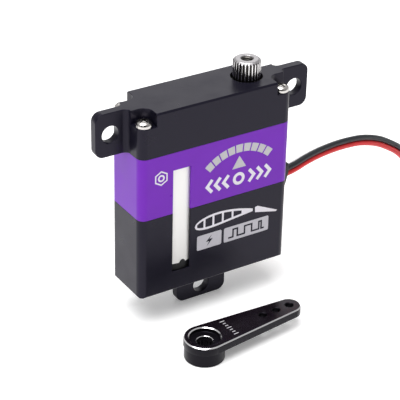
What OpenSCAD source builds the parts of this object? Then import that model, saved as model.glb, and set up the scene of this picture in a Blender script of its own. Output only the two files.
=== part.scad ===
// Slim hobby servo for model aircraft wings, standing on its lower mounting tab.
// Millimetres. Origin at the middle of the tab's foot, +Z up, +X towards the lead, +Y to the back.

/* [Case] */
// Width of the case without its ears
case_w = 30; // [30:0.5:32]
// Thickness of the case from front to back
case_t = 10; // [10:0.2:11]
// Height of the lower shell
lower_h = 15.4; // [15:0.1:17]
// Height of the purple middle shell
middle_h = 11.6; // [11.4:0.1:12]
// Radius of the case's four upright edges
corner_r = 1.5; // [1:0.1:2]
// Chamfer round the top and the bottom of the case
edge_cut = 0.25; // [0.1:0.05:0.4]

/* [Mounting] */
// Thickness of the two ears and of the lower tab
ear_t = 1.6; // [1.2:0.1:1.7]
// Overall width across the two ears
ear_span = 42; // [41.5:0.5:44]
// Distance between the two ear holes
ear_pitch = 36.4; // [36:0.1:37]
// Diameter of the three mounting holes
mount_hole = 3.1; // [2.6:0.1:3.2]
// Width of the lower tab
tab_w = 10; // [8:0.5:14]
// Drop of the lower tab below the case
tab_drop = 6.2; // [6:0.1:6.6]

/* [Motor] */
// Diameter of the motor can
motor_d = 9.7; // [9.4:0.1:9.7]
// Width of the slots that the motor can shows through
slot_w = 3.5; // [2:0.1:3.6]

/* [Output] */
// Distance of the output shaft from the middle of the case
output_x = 8.7; // [8.5:0.1:8.7]
// Outside diameter of the toothed shaft end
spline_d = 4.9; // [4.6:0.1:5]
// Number of teeth on the shaft end
spline_teeth = 25; // [20:1:25]
// Height of the toothed shaft end above the case
spline_h = 3.3; // [3:0.1:4.5]
// Diameter of the threaded hole for the horn screw
thread_d = 2.1; // [1.6:0.1:2.2]

/* [Horn] */
// Distance from the horn's hub to its outermost link hole
horn_reach = 17.8; // [15:0.1:24]
// Total height of the horn's hub
horn_h = 4; // [3.6:0.1:5]
// Thickness of the horn's arm
horn_t = 1.6; // [1.2:0.1:2]
// Turn of the horn on the surface, in degrees
horn_turn = 2.6; // [0:0.1:5]

/* [Lead] */
// Outside diameter of one wire's insulation
wire_d = 1.06; // [0.8:0.02:1.06]

/* [Hidden] */
$fn = 48;

// Colours
black_metal = [0.13, 0.13, 0.15];
purple_metal = [0.45, 0.16, 0.72];
bright_steel = [0.8, 0.8, 0.8];
dark_steel = [0.55, 0.55, 0.58];
brass_tone = [0.78, 0.63, 0.3];
black_plastic = [0.07, 0.07, 0.08];

// Heights in the case
upper_h = 8;
case_z = tab_drop;
split_1 = case_z + lower_h;
split_2 = split_1 + middle_h;
case_top = split_2 + upper_h;
wall = 0.8;
floor_t = 1.2;
ceiling_t = 0.9;
plate_t = 2.2;
plate_z = split_2 - plate_t;
inner_w = case_w - 2 * wall;
inner_t = case_t - 2 * wall;
fit_gap = 0.03;

// Case screws in the four corners, each in a notch of the top shell
screw_x = case_w / 2 - 1.5;
screw_y = case_t / 2 - 1.5;
screw_r = 0.7;
screw_hole_r = 0.8;
head_r = 1.4;
head_h = 1.1;
notch_r = 1.65;
notch_z = case_top - 2.4;
upper_boss_r = 2.2;
lower_boss_r = 1.6;

// Gear train: modules, teeth and the four centre distances on one line
module_1 = 0.15;
module_2 = 0.2;
module_3 = 0.25;
module_4 = 0.3;
pinion_teeth = 8;
teeth_1 = 42;
teeth_2 = 29;
teeth_3 = 21;
teeth_4 = 22;
function centres(m, teeth) = m * (pinion_teeth + teeth) / 2;
third_x = output_x - centres(module_4, teeth_4);
second_x = third_x - centres(module_3, teeth_3);
first_x = second_x - centres(module_2, teeth_2);
motor_x = first_x - centres(module_1, teeth_1);
// Each layer of the train is [lowest, highest] above the gear plate
layer_1 = [0.7, 1.4];
layer_2 = [1.6, 2.5];
layer_3 = [2.7, 3.8];
layer_4 = [4.0, 5.2];
pin_r = 0.3;
pressure = 20;
pinion_shift = 0.5;
backlash = 0.16;

// Motor
motor_base = case_z + 3.1;
cap_top = case_z + 5.1;
motor_top = plate_z;
shaft_r = 0.4;
slot_low = case_z + 3.75;
slot_high = split_1 + 8.25;

// Output shaft and its bearings
top_bearing_z = split_2 + 5.4;
bearing_w = 2;
lower_bearing_z = split_2 - bearing_w;
top_race = [2, 3.5];
lower_race = [1.5, 3];
lip_hole_r = 2.8;
pot_r = 3.9;
pot_z = split_1 + 2.6;
pot_h = 5;

// Circuit board
board_x = -1.4;
board_y = 3.4;
board_z = case_z + 1.6;
board_w = 13;
board_h = 13.6;

// Grommet
grommet_low = case_z + 11.8;
grommet_high = case_z + 16.4;
grommet_y = 1.5;
grommet_reach = 2.6;

// Horn, which lies hub down in front of the case
horn_pos = [-9.4, -17.1];
hub_r = 3.5;
arm_r = 3.65;
tip_r = 2.05;
link_hole_r = 0.7;
link_step = 2.85;

// Free stretch of the lead: x, y, z and roll of the bundle. It leaves the grommet, arcs down and
// comes to lie on the surface. Roll 0 has black over red with white behind; at 90 white is on top.
route = [
    [17.5, 0.3, 20.1, 0], [20.0, 0.5, 20.4, 0], [22.6, 1.1, 20.7, 0], [25.4, 1.9, 20.7, 0],
    [28.3, 2.6, 20.6, 0], [31.3, 3.2, 20.4, 0], [34.3, 3.8, 20.0, 0], [37.3, 4.4, 19.4, 0],
    [40.3, 5.0, 18.4, 0], [43.2, 5.6, 17.1, 0], [46.0, 6.1, 15.4, 0], [48.7, 6.6, 13.5, 0],
    [51.2, 7.0, 11.2, 10], [53.5, 7.4, 8.8, 25], [55.7, 7.7, 6.4, 40], [58.0, 7.9, 4.1, 60],
    [60.6, 8.0, 2.3, 75], [63.3, 8.0, 1.2, 85], [66.0, 8.0, 0.9, 90]
];
// The tail inside the coil, where the bundle rolls until its wires lie in the plug's order. The last
// figure is the share by which they have spread to the plug's pitch.
tail = [
    [78.9, -5.6, 0.9, 90, 0], [78.6, -7.6, 1.05, 70, 0], [77.2, -9.4, 1.2, 45, 0.1],
    [74.9, -10.0, 1.25, 30, 0.5], [72.6, -10.0, 1.3, 30, 1], [70.6, -10.0, 1.3, 30, 1]
];
wire_r = wire_d / 2;
// Place of each wire across the bundle, as [side, normal], and its place in the plug
black_at = [0.54, -0.31, 2.54];
red_at = [-0.54, -0.31, 0];
white_at = [0, 0.62, -2.54];
// The rest of the lead is a coil in a tie beside the arc, drawn as one ring, with the plug at its end
coil_at = [66, -8];
coil_out = 17.2;
coil_in = 12.3;
coil_h = 2.05;
plug_at = [57, -10];
plug_size = [14, 7.7, 2.6];
pitch = 2.54;

// ---------- Helpers ----------

// An involute's polar angle, in degrees, where its pressure angle is a
function involute(a) = tan(a) * 180 / PI - a;

// Half of a tooth's angle at radius r, for a gear of base radius rb whose half tooth at the pitch line is h
function half_tooth(r, rb, h) = h + involute(pressure) - (r > rb ? involute(acos(rb / r)) : 0);

function polar(r, a) = [r * cos(a), r * sin(a)];

// Points along an arc, close enough together to read as a curve
function arc(centre, r, from, to) =
    [for (i = [0 : 40]) centre + polar(r, from + (to - from) * i / 40)];

// Outline of a spur gear with involute teeth, with one tooth centred on +X
function gear_points(m, teeth, shift, add, ded) =
    let (
        pitch_r = m * teeth / 2,
        rb = pitch_r * cos(pressure),
        tip = pitch_r + m * add,
        root = pitch_r - m * ded,
        low = max(root, rb),
        mid = (low + tip) / 2,
        h = (90 + 2 * shift * tan(pressure) * 180 / PI) / teeth - backlash * 90 / PI / teeth,
        radii = [root, low + 0.001, mid, tip],
        step = 360 / teeth
    )
    [for (i = [0 : teeth - 1]) each concat(
        [for (r = radii) polar(r, i * step - half_tooth(r, rb, h))],
        [for (k = [3 : -1 : 0]) polar(radii[k], i * step + half_tooth(radii[k], rb, h))]
    )];

// A pinion with long teeth, or the wheel with short ones that it turns
module pinion(m, low, high) {
    translate([0, 0, low])
        linear_extrude(high - low)
            polygon(gear_points(m, pinion_teeth, pinion_shift, 1.3, 0.7));
}

module wheel(m, teeth, low, high) {
    rotate(180 + 180 / teeth)
        translate([0, 0, low])
            linear_extrude(high - low)
                polygon(gear_points(m, teeth, -pinion_shift, 0.45, 1.6));
}

module ring(outer, inner, low, high) {
    translate([0, 0, low])
        difference() {
            cylinder(r = outer, h = high - low);
            translate([0, 0, -1])
                cylinder(r = inner, h = high - low + 2);
        }
}

// A rectangle with round corners, centred
module rounded(w, t, r) {
    square([w - 2 * r, t], center = true);
    square([w, t - 2 * r], center = true);
    for (x = [-1, 1], y = [-1, 1])
        translate([x * (w / 2 - r), y * (t / 2 - r)])
            circle(r);
}

// The case's outside between two heights
module case_block(low, high) {
    translate([0, 0, low])
        linear_extrude(high - low)
            rounded(case_w, case_t, corner_r);
}

// Everything inside the chamfers that run along a face of the given half size
module chamfer_profile(half) {
    polygon([
        [-half, case_z + edge_cut], [-half + edge_cut, case_z], [half - edge_cut, case_z],
        [half, case_z + edge_cut], [half, case_top - edge_cut], [half - edge_cut, case_top],
        [-half + edge_cut, case_top], [-half, case_top - edge_cut]
    ]);
}

module chamfer_limit() {
    intersection() {
        rotate([90, 0, 0])
            linear_extrude(case_t + 2, center = true)
                chamfer_profile(case_w / 2);
        rotate([90, 0, 90])
            linear_extrude(case_w + 2, center = true)
                chamfer_profile(case_t / 2);
    }
}

module at_screws() {
    for (x = [-1, 1], y = [-1, 1])
        translate([x * screw_x, y * screw_y, 0])
            children();
}

// The space inside the case between two heights, with a boss left in each corner
module cavity(low, high, boss_r) {
    difference() {
        translate([-inner_w / 2, -inner_t / 2, low])
            cube([inner_w, inner_t, high - low]);
        at_screws()
            translate([0, 0, low - 1])
                cylinder(r = boss_r, h = high - low + 2);
    }
}

module screw_holes(low, high) {
    at_screws()
        translate([0, 0, low])
            cylinder(r = screw_hole_r, h = high - low);
}

// The motor's pocket, and the slots in front and behind that it shows through
module motor_pocket() {
    translate([motor_x, 0, motor_base - 0.2])
        cylinder(d = motor_d + 0.1, h = motor_top - motor_base + 0.2);
    translate([motor_x - slot_w / 2, -case_t, slot_low])
        cube([slot_w, 2 * case_t, slot_high - slot_low]);
}

// The way through the right wall for the grommet
module lead_opening() {
    translate([case_w / 2 - 2, -grommet_y, grommet_low])
        cube([3, 2 * grommet_y, grommet_high - grommet_low]);
}

// A flat plate standing in the XZ plane with two round corners at its far end, pointing +X
module ear_plate(reach, height, r) {
    rotate([90, 0, 0])
        linear_extrude(ear_t, center = true)
            union() {
                square([reach - r, height]);
                translate([0, r])
                    square([reach, height - 2 * r]);
                translate([reach - r, r])
                    circle(r);
                translate([reach - r, height - r])
                    circle(r);
            }
}

// One ear with the fillets at its root, pointing +X
module ear() {
    reach = (ear_span - case_w) / 2;
    translate([case_w / 2, 0, split_2])
        difference() {
            union() {
                translate([-1, 0, 0])
                    ear_plate(reach + 1, upper_h, corner_r);
                linear_extrude(upper_h)
                    difference() {
                        translate([-1, -ear_t / 2 - 1])
                            square([2, ear_t + 2]);
                        for (s = [-1, 1])
                            translate([1, s * (ear_t / 2 + 1)])
                                circle(1);
                    }
            }
            translate([ear_pitch / 2 - case_w / 2, 0, upper_h / 2])
                rotate([90, 0, 0])
                    cylinder(d = mount_hole, h = 4 * ear_t, center = true);
        }
}

// Space for one corner screw's head, open to the outside of that corner
module notch() {
    translate([0, 0, notch_z])
        linear_extrude(10)
            union() {
                circle(notch_r);
                translate([-notch_r, 0])
                    square([2 * notch_r + 3, 5]);
                translate([0, -notch_r])
                    square([5, notch_r + 5]);
            }
}

// ---------- Case ----------

module top_case() {
    color(black_metal)
        difference() {
            union() {
                intersection() {
                    case_block(split_2, case_top);
                    chamfer_limit();
                }
                ear();
                mirror([1, 0, 0])
                    ear();
            }
            difference() {
                cavity(split_2 - 1, case_top - ceiling_t, upper_boss_r);
                translate([output_x, 0, top_bearing_z])
                    cylinder(r = top_race[1] + 0.6, h = 5);
            }
            translate([output_x, 0, top_bearing_z - 1])
                cylinder(r = top_race[1], h = bearing_w + 1);
            translate([output_x, 0, top_bearing_z])
                cylinder(r = lip_hole_r, h = 10);
            screw_holes(split_2 - 1, case_top + 1);
            for (x = [0, 1], y = [0, 1])
                mirror([x, 0, 0])
                    mirror([0, y, 0])
                        translate([screw_x, screw_y, 0])
                            notch();
            for (x = [first_x, second_x, third_x])
                translate([x, 0, case_top - ceiling_t - 1])
                    cylinder(r = pin_r, h = 1.5);
        }
}

module middle_case() {
    color(purple_metal)
        difference() {
            case_block(split_1, split_2);
            cavity(split_1 - 1, plate_z, lower_boss_r);
            motor_pocket();
            lead_opening();
            screw_holes(split_1 - 1, split_2 + 1);
            translate([motor_x, 0, plate_z - 1])
                cylinder(r = 1.5, h = plate_t + 2);
            for (y = [-2.5, 2.5])
                translate([motor_x, y, plate_z - 1])
                    cylinder(r = 0.55, h = plate_t + 2);
            for (x = [first_x, second_x, third_x])
                translate([x, 0, plate_z + 0.6])
                    cylinder(r = pin_r, h = plate_t);
            translate([output_x, 0, lower_bearing_z])
                cylinder(r = lower_race[1], h = bearing_w + 1);
            translate([output_x, 0, plate_z - 1])
                cylinder(r = (lower_race[0] + lower_race[1]) / 2, h = plate_t);
        }
}

module bottom_case() {
    color(black_metal)
        difference() {
            union() {
                intersection() {
                    case_block(case_z, split_1);
                    chamfer_limit();
                }
                translate([-tab_w / 2, 0, tab_drop + 1])
                    rotate([0, 90, 0])
                        ear_plate(tab_drop + 1, tab_w, corner_r);
            }
            cavity(case_z + floor_t, split_1 + 1, lower_boss_r);
            motor_pocket();
            lead_opening();
            screw_holes(split_1 - 10, split_1 + 1);
            translate([0, 0, 2.4])
                rotate([90, 0, 0])
                    cylinder(d = mount_hole, h = 4 * ear_t, center = true);
        }
}

module case_screws() {
    color(bright_steel)
        at_screws()
            difference() {
                union() {
                    translate([0, 0, split_1 - 8])
                        cylinder(r = screw_r, h = notch_z - split_1 + 8.1);
                    translate([0, 0, notch_z])
                        cylinder(r = head_r, h = head_h - 0.4);
                    translate([0, 0, notch_z + head_h - 0.4])
                        cylinder(r1 = head_r, r2 = head_r - 0.35, h = 0.4);
                }
                for (a = [20, 110])
                    rotate(a)
                        translate([-0.9, -0.2, notch_z + head_h - 0.6])
                            cube([1.8, 0.4, 1]);
            }
}

// ---------- Motor ----------

module motor_can() {
    color(bright_steel)
        translate([motor_x, 0, 0])
            difference() {
                union() {
                    translate([0, 0, cap_top])
                        cylinder(d = motor_d, h = motor_top - cap_top);
                    translate([0, 0, motor_top - 0.5])
                        cylinder(r = 1.45, h = 1.7);
                }
                translate([0, 0, cap_top - 1])
                    cylinder(d = motor_d - 0.9, h = motor_top - cap_top + 0.2);
                translate([0, 0, cap_top])
                    cylinder(r = shaft_r + fit_gap, h = 40);
                for (y = [-2.5, 2.5])
                    translate([0, y, motor_top - 2])
                        cylinder(r = 0.4, h = 4);
            }
}

module motor_end_cap() {
    color(black_plastic)
        translate([motor_x, 0, 0])
            difference() {
                union() {
                    translate([0, 0, motor_base])
                        cylinder(d = motor_d - 0.3, h = cap_top - motor_base);
                    translate([0, 0, cap_top])
                        cylinder(d = motor_d - 1, h = 1);
                }
                translate([0, 0, motor_base + 0.8])
                    cylinder(r = shaft_r + fit_gap, h = 10);
            }
}

module motor_magnet() {
    color(dark_steel)
        translate([motor_x, 0, 0])
            ring(4.2, 0.8, cap_top + 1, motor_top - 1.2);
}

module motor_shaft() {
    color(bright_steel)
        translate([motor_x, 0, motor_base + 0.9])
            cylinder(r = shaft_r, h = split_2 + layer_1[1] + 0.2 - motor_base - 0.9);
}

module motor_pinion() {
    color(brass_tone)
        translate([motor_x, 0, split_2])
            difference() {
                pinion(module_1, layer_1[0] - 0.1, layer_1[1] + 0.1);
                translate([0, 0, layer_1[0] - 1])
                    cylinder(r = shaft_r, h = 5);
            }
}

module motor_screws() {
    color(dark_steel)
        for (y = [-2.5, 2.5])
            translate([motor_x, y, 0]) {
                translate([0, 0, motor_top - 0.45])
                    cylinder(r = 0.4, h = plate_t + 0.45);
                translate([0, 0, split_2])
                    cylinder(r = 0.8, h = 0.4);
            }
}

// ---------- Gear train ----------

// A wheel and the pinion above it, turning on one pin
module compound_gear(m_wheel, teeth, wheel_at, m_pinion, pinion_at) {
    difference() {
        union() {
            wheel(m_wheel, teeth, wheel_at[0], wheel_at[1]);
            pinion(m_pinion, wheel_at[1], pinion_at[1]);
        }
        translate([0, 0, -1])
            cylinder(r = pin_r + fit_gap, h = 20);
    }
}

module first_gear() {
    color(brass_tone)
        translate([first_x, 0, split_2])
            compound_gear(module_1, teeth_1, layer_1, module_2, layer_2);
}

module second_gear() {
    color(bright_steel)
        translate([second_x, 0, split_2])
            compound_gear(module_2, teeth_2, layer_2, module_3, layer_3);
}

module third_gear() {
    color(bright_steel)
        translate([third_x, 0, split_2])
            compound_gear(module_3, teeth_3, layer_3, module_4, layer_4);
}

module gear_pins() {
    color(dark_steel)
        for (x = [first_x, second_x, third_x])
            translate([x, 0, plate_z + 0.6])
                cylinder(r = pin_r, h = case_top - ceiling_t + 0.5 - plate_z - 0.6);
}

module output_gear() {
    color(bright_steel)
        translate([output_x, 0, split_2])
            difference() {
                wheel(module_4, teeth_4, layer_4[0], layer_4[1]);
                translate([0, 0, -1])
                    cylinder(r = 2, h = 20);
            }
}

// The shaft's steps from the potentiometer up, with a toothed end and a threaded hole
module output_shaft() {
    top = case_top + spline_h;
    teeth_z = top_bearing_z + bearing_w + 0.1;
    color(bright_steel)
        translate([output_x, 0, 0])
            difference() {
                union() {
                    translate([0, 0, pot_z + 1])
                        cylinder(r = 1.2, h = split_2 - pot_z);
                    translate([0, 0, lower_bearing_z])
                        cylinder(r = lower_race[0], h = layer_4[0] + bearing_w);
                    translate([0, 0, split_2 + layer_4[0] - 0.1])
                        cylinder(r = top_race[0], h = teeth_z - split_2 - layer_4[0] + 0.1);
                    intersection() {
                        translate([0, 0, teeth_z])
                            linear_extrude(top - teeth_z)
                                polygon(spline_points());
                        translate([0, 0, teeth_z])
                            cylinder(r = spline_d / 2, h = top - teeth_z - 0.35);
                    }
                    translate([0, 0, top - 0.35])
                        cylinder(r1 = spline_d / 2 - 0.25, r2 = spline_d / 2 - 0.5, h = 0.35);
                }
                translate([0, 0, top - 6])
                    cylinder(d = thread_d, h = 7);
            }
}

// Outline of the toothed shaft end: a straight-sided tooth and gap in turn
function spline_points() =
    let (step = 360 / spline_teeth, tip = spline_d / 2, root = tip - 0.32)
    [for (i = [0 : spline_teeth - 1]) each [
        polar(root, (i - 0.36) * step),
        polar(tip, (i - 0.14) * step),
        polar(tip, (i + 0.14) * step),
        polar(root, (i + 0.36) * step)
    ]];

// ---------- Bearings ----------

module bearing_outer(race, low) {
    groove_r = (race[0] + race[1]) / 2;
    color(bright_steel)
        translate([output_x, 0, low])
            rotate_extrude()
                difference() {
                    translate([groove_r + 0.25, 0])
                        square([race[1] - groove_r - 0.25, bearing_w]);
                    translate([groove_r, bearing_w / 2])
                        circle(0.45);
                }
}

module bearing_inner(race, low) {
    groove_r = (race[0] + race[1]) / 2;
    color(bright_steel)
        translate([output_x, 0, low])
            rotate_extrude()
                difference() {
                    translate([race[0], 0])
                        square([groove_r - 0.25 - race[0], bearing_w]);
                    translate([groove_r, bearing_w / 2])
                        circle(0.45);
                }
}

module bearing_balls(race, low, count) {
    groove_r = (race[0] + race[1]) / 2;
    color(dark_steel)
        translate([output_x, 0, low + bearing_w / 2])
            for (i = [0 : count - 1])
                rotate(i * 360 / count)
                    translate([groove_r, 0, 0])
                        sphere(r = 0.4, $fn = 24);
}

module top_bearing_outer() {
    bearing_outer(top_race, top_bearing_z);
}

module top_bearing_inner() {
    bearing_inner(top_race, top_bearing_z);
}

module top_bearing_balls() {
    bearing_balls(top_race, top_bearing_z, 9);
}

module lower_bearing_outer() {
    bearing_outer(lower_race, lower_bearing_z);
}

module lower_bearing_inner() {
    bearing_inner(lower_race, lower_bearing_z);
}

module lower_bearing_balls() {
    bearing_balls(lower_race, lower_bearing_z, 7);
}

// ---------- Potentiometer and electronics ----------

module potentiometer_body() {
    color([0.2, 0.32, 0.3])
        translate([output_x, 0, 0])
            difference() {
                translate([0, 0, pot_z])
                    cylinder(r = pot_r, h = pot_h);
                translate([0, 0, pot_z + 0.6])
                    cylinder(r = pot_r - 0.6, h = pot_h - 1.2);
                translate([0, 0, pot_z + pot_h - 1])
                    cylinder(r = 1.3, h = 2);
            }
}

module potentiometer_wiper() {
    color(brass_tone)
        translate([output_x, 0, 0])
            difference() {
                union() {
                    translate([0, 0, pot_z + 1])
                        cylinder(r = 2, h = 1.2);
                    translate([0, -0.5, pot_z + 1])
                        cube([2.9, 1, 0.6]);
                }
                translate([0, 0, pot_z])
                    cylinder(r = 1.2, h = 4);
            }
}

// The board stands upright against the back wall, its parts facing the front
module circuit_board() {
    color([0.05, 0.3, 0.16])
        difference() {
            translate([board_x, board_y, board_z])
                cube([board_w, inner_t / 2 - board_y, board_h]);
            for (z = [board_z + 2, board_z + board_h - 2])
                translate([board_x + 1.4, board_y - 1, z])
                    rotate([-90, 0, 0])
                        cylinder(r = 0.5, h = 4);
        }
}

module controller_chip() {
    color(black_plastic)
        translate([3, board_y - 0.9, board_z + 6.2])
            cube([4.6, 0.9, 4.6]);
}

module driver_chips() {
    color(black_plastic)
        for (x = [1.6, 6.6])
            translate([x, board_y - 1.1, board_z + 1.2])
                cube([3.6, 1.1, 3.4]);
}

module capacitor() {
    color([0.55, 0.42, 0.2])
        translate([9, board_y - 1.4, board_z + 5.4])
            cube([1.6, 1.4, 3.2]);
}

// A stiff wire through a row of points, with a small swelling at each bend
module wire_run(points, r) {
    for (i = [0 : len(points) - 2]) {
        d = points[i + 1] - points[i];
        translate(points[i])
            rotate([0, acos(d[2] / norm(d)), atan2(d[1], d[0])])
                cylinder(r = r, h = norm(d), $fn = 10);
    }
    for (i = [1 : 1 : len(points) - 2])
        translate(points[i])
            sphere(r = 1.4 * r, $fn = 8);
}

// Two wires to the motor, three to the potentiometer and the lead's three ends, all soldered to the board
module inner_wires() {
    color([0.6, 0.1, 0.1]) {
        for (x = [0, 1.2])
            wire_run([
                [motor_x + 2 + x, 1.5, motor_base], [motor_x + 2 + x, 1.5, motor_base - 1 + x / 2],
                [board_x + 0.6 + x / 2, 2.6, motor_base - 1 + x / 2],
                [board_x + 0.6 + x / 2, board_y, motor_base - 1 + x / 2]
            ], 0.25);
        for (x = [-1.2, 0, 1.2])
            wire_run([[output_x + x, 3.5, board_z + board_h], [output_x + x, 3.5, pot_z]], 0.25);
        for (k = [0 : 2])
            wire_run([
                [9.4, board_y, board_z + 10 + 1.2 * k], [9.4, 0.4, board_z + 10 + 1.2 * k],
                [case_w / 2 - 1.6, 0.4, grommet_low + 0.9 + 1.2 * k]
            ], 0.36);
    }
}

// ---------- Lead ----------

// A soft sleeve with a flange inside the wall and a nose that tapers outside it
module cable_grommet() {
    low = grommet_low;
    high = grommet_high;
    side = case_w / 2;
    color(black_plastic)
        union() {
            translate([side - 1.6, -grommet_y - 0.3, low - 0.4])
                cube([0.8, 2 * grommet_y + 0.6, high - low + 0.8]);
            translate([0, grommet_y, 0])
                rotate([90, 0, 0])
                    linear_extrude(2 * grommet_y)
                        polygon([
                            [side - 1, low], [side + 2, low], [side + grommet_reach, low + 2.4],
                            [side + grommet_reach, high], [side - 1, high]
                        ]);
        }
}

function unit(v) = v / norm(v);

// Direction of a route at its point i
function along(points, i) =
    unit([for (k = [0 : 2]) points[min(i + 1, len(points) - 1)][k] - points[max(i - 1, 0)][k]]);

function left_of(t) = unit(cross([0, 0, 1], t));

// Place of one wire at point i of a route: place is [side, normal, side in the plug]
function wire_point(points, i, place) =
    let (
        p = points[i],
        t = along(points, i),
        y = left_of(t),
        z = cross(t, y),
        share = len(p) > 4 ? p[4] : 0,
        s = cos(p[3]) * z - sin(p[3]) * y,
        n = cos(p[3]) * y + sin(p[3]) * z
    )
    [p[0], p[1], p[2]] + (1 - share) * (place[0] * s + place[1] * n) - share * place[2] * y;

// A tube with eight sides round a row of points
module tube(points, r) {
    sides = 8;
    count = len(points);
    rings = [for (i = [0 : count - 1])
        let (t = along(points, i), y = left_of(t), z = cross(t, y))
        each [for (k = [0 : sides - 1])
            points[i] + r * (cos(360 * (k + 0.5) / sides) * y + sin(360 * (k + 0.5) / sides) * z)]];
    skin = [for (i = [0 : count - 2], k = [0 : sides - 1])
        let (a = i * sides + k, b = i * sides + (k + 1) % sides)
        [a, a + sides, b + sides, b]];
    ends = [[for (k = [0 : sides - 1]) k], [for (k = [sides - 1 : -1 : 0]) (count - 1) * sides + k]];
    polyhedron(rings, concat(skin, ends), 10);
}

module wire(place) {
    tube([for (i = [0 : len(route) - 1]) wire_point(route, i, place)], wire_r);
    tube([for (i = [0 : len(tail) - 1]) wire_point(tail, i, place)], wire_r);
}

module black_wire() {
    color(black_plastic)
        wire(black_at);
}

module red_wire() {
    color([0.75, 0.1, 0.12])
        wire(red_at);
}

module white_wire() {
    color([0.92, 0.92, 0.9])
        wire(white_at);
}

module lead_coil() {
    color([0.3, 0.08, 0.1])
        translate([coil_at[0], coil_at[1], 0])
            ring(coil_out, coil_in, 0, coil_h);
}

module plug_housing() {
    color(black_plastic)
        difference() {
            translate([plug_at[0], plug_at[1] - plug_size[1] / 2, 0])
                cube(plug_size);
            for (k = [-1, 0, 1])
                translate([plug_at[0] - 1, plug_at[1] + k * pitch - 0.9, 0.5])
                    cube([12, 1.8, 1.6]);
            for (k = [-1, 0, 1])
                translate([plug_at[0] + 10, plug_at[1] + k * pitch, 1.3])
                    rotate([0, 90, 0])
                        cylinder(r = wire_r + 0.15, h = 5);
        }
}

module plug_contacts() {
    color(brass_tone)
        for (k = [-1, 0, 1])
            translate([plug_at[0] + 0.6, plug_at[1] + k * pitch - 0.8, 0.5])
                difference() {
                    cube([10, 1.6, 1.5]);
                    translate([-1, 0.3, 0.3])
                        cube([8, 1, 0.9]);
                }
}

// ---------- Horn ----------

// The arm seen from above: a hub circle and a tip circle joined by their common tangents
module horn_outline(length, r1, r2) {
    lean = asin((r1 - r2) / length);
    polygon(concat(
        arc([0, 0], r1, 90 - lean, 270 + lean),
        arc([length, 0], r2, lean - 90, 90 - lean)
    ));
}

module servo_horn() {
    color(black_metal)
        translate([horn_pos[0], horn_pos[1], 0])
            rotate(horn_turn)
                difference() {
                    union() {
                        cylinder(r = hub_r, h = horn_h - horn_t + 0.1);
                        translate([0, 0, horn_h - horn_t])
                            linear_extrude(horn_t)
                                horn_outline(horn_reach, arm_r, tip_r);
                    }
                    translate([0, 0, -1])
                        linear_extrude(1 + horn_h - horn_t - 0.2)
                            polygon(spline_points() * 1.012);
                    translate([0, 0, -1])
                        cylinder(r = 1.45, h = 10);
                    translate([0, 0, horn_h - 0.9])
                        cylinder(r = 2.75, h = 2);
                    for (k = [0 : 2])
                        translate([horn_reach - k * link_step, 0, -1])
                            cylinder(r = link_hole_r, h = 10);
                }
}

top_case();
middle_case();
bottom_case();
case_screws();
motor_can();
motor_end_cap();
motor_magnet();
motor_shaft();
motor_pinion();
motor_screws();
first_gear();
second_gear();
third_gear();
gear_pins();
output_gear();
output_shaft();
top_bearing_outer();
top_bearing_inner();
top_bearing_balls();
lower_bearing_outer();
lower_bearing_inner();
lower_bearing_balls();
potentiometer_body();
potentiometer_wiper();
circuit_board();
controller_chip();
driver_chips();
capacitor();
inner_wires();
cable_grommet();
black_wire();
red_wire();
white_wire();
lead_coil();
plug_housing();
plug_contacts();
servo_horn();
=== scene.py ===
"""Looks for a slim hobby servo with its lead and a loose horn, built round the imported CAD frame."""

import math

import bmesh
import bpy
from mathutils import Matrix, Vector


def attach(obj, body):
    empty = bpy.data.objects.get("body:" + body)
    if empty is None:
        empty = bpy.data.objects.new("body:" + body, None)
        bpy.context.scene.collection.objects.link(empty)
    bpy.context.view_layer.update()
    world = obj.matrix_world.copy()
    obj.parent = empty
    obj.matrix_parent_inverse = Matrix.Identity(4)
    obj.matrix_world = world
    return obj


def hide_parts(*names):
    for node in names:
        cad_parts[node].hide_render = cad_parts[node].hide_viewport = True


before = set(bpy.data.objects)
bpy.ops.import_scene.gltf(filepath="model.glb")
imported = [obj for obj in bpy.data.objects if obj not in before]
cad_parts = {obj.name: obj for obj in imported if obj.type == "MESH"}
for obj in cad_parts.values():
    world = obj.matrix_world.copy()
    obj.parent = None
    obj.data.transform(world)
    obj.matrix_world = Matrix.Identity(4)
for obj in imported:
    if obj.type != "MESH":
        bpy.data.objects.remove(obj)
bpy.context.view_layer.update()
scene = bpy.context.scene
MM = 0.001

# Places and sizes that several pieces share, in millimetres
OUTPUT_X = 8.7
SCREW_X, SCREW_Y = 13.5, 3.5
MOTOR_X = -6.875
COIL_X, COIL_Y = 66.0, -8.0
PLUG_Y, PLUG_PITCH = -10.0, 2.54
WIRE_R = 0.53


# ---------- Camera ----------


def aim_camera():
    """A long lens in front of the case and to its left, looking down on it."""
    yaw, pitch, roll = (math.radians(a) for a in (32.528, 29.882, 1.307))
    target_height, distance, aside, below = 23.2, 282.61, 0.154, 3.37
    ahead = Vector(
        (math.sin(yaw) * math.cos(pitch), math.cos(yaw) * math.cos(pitch), -math.sin(pitch))
    )
    level = Vector((math.cos(yaw), -math.sin(yaw), 0))
    over = level.cross(ahead)
    right = level * math.cos(roll) + over * math.sin(roll)
    up = over * math.cos(roll) - level * math.sin(roll)
    target = Vector((0, 0, target_height * MM))
    eye = target - ahead * distance * MM - right * aside * MM - up * below * MM
    data = bpy.data.cameras.new("camera")
    data.lens = 147.06
    data.sensor_width = 36
    data.clip_start = 0.01
    data.clip_end = 20
    camera = bpy.data.objects.new("camera", data)
    camera.matrix_world = Matrix.Translation(eye) @ Matrix((right, up, -ahead)).transposed().to_4x4()
    scene.collection.objects.link(camera)
    scene.camera = camera


aim_camera()


# ---------- Materials ----------


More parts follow.
